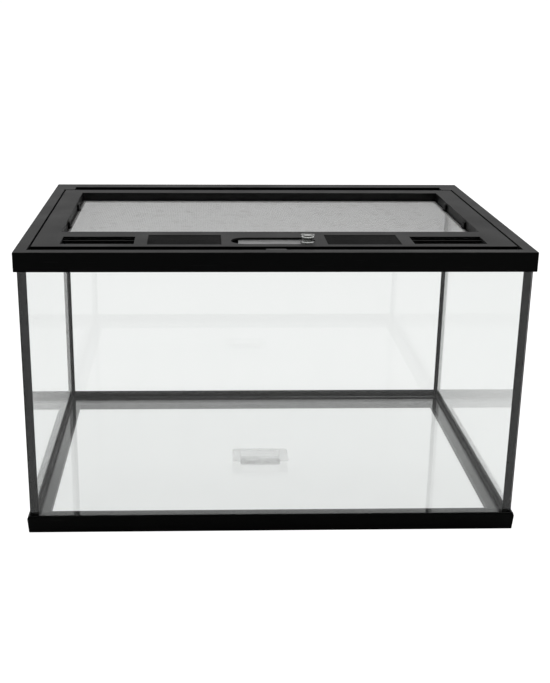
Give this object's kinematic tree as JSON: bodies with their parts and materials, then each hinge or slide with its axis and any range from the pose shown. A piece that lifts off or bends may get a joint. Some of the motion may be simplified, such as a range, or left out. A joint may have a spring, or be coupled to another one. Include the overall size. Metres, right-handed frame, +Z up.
{
  "type": "glass hamster cage",
  "caption": "Glass tank for a hamster or other small pet, with black plastic frames, a hinged lid with a steel mesh, and a sliding cover over a feeding slot.",
  "frame": {"origin": "on the ground, under the middle of the tank", "axes": "+X to the right along the front, +Y to the back where the hinge is, +Z up"},
  "size_m": [0.6, 0.445, 0.3595],
  "materials": {
    "frame_plastic": "black moulded plastic with a fine matt grain",
    "lid_plastic": "black moulded plastic with a fine matt grain",
    "dark_plastic": "plain black moulded plastic",
    "rib_plastic": "black plastic with fine ribs",
    "silicone": "black silicone, satin",
    "clear_glass": "clear float glass with a faint green edge",
    "frosted_slide": "translucent moulded plastic, lightly frosted and scuffed",
    "clear_knob": "clear moulded plastic, polished",
    "clear_dish": "clear moulded plastic, slightly milky",
    "steel_mesh": "woven light grey steel wire",
    "pin_steel": "plain steel"
  },
  "bodies": {
    "tank": {"base_frame": "frame_plastic", "floor_pane": "clear_glass", "front_pane": "clear_glass", "back_pane": "clear_glass", "left_pane": "clear_glass", "right_pane": "clear_glass", "front_left_seal": "silicone", "front_right_seal": "silicone", "back_left_seal": "silicone", "back_right_seal": "silicone", "floor_seal": "silicone", "top_frame": "frame_plastic"},
    "lid": {"lid_frame": "lid_plastic", "lid_mesh": "steel_mesh", "slide_track": "dark_plastic", "left_vent_grille": "dark_plastic", "left_ribbed_panel": "rib_plastic", "left_hinge_pin": "pin_steel", "left_front_mesh_clip": "dark_plastic", "left_back_mesh_clip": "dark_plastic", "right_vent_grille": "dark_plastic", "right_ribbed_panel": "rib_plastic", "right_hinge_pin": "pin_steel", "right_front_mesh_clip": "dark_plastic", "right_back_mesh_clip": "dark_plastic"},
    "slide": {"feed_slide": "frosted_slide", "slide_knob": "clear_knob"},
    "dish": {"food_dish": "clear_dish"}
  },
  "joints": [
    {"name": "lid_hinge", "type": "hinge", "parent": "tank", "child": "lid", "pos_m": [0, 0.171, 0.346], "axis": [-1, 0, 0], "range_deg": [0, 100]},
    {"name": "feed_slide_travel", "type": "slide", "parent": "lid", "child": "slide", "axis": [-1, 0, 0], "range_m": [0, 0.076]},
    {"name": "dish_lift", "type": "slide", "parent": "tank", "child": "dish", "axis": [0, 0, 1], "range_m": [0, 0.25]}
  ]
}
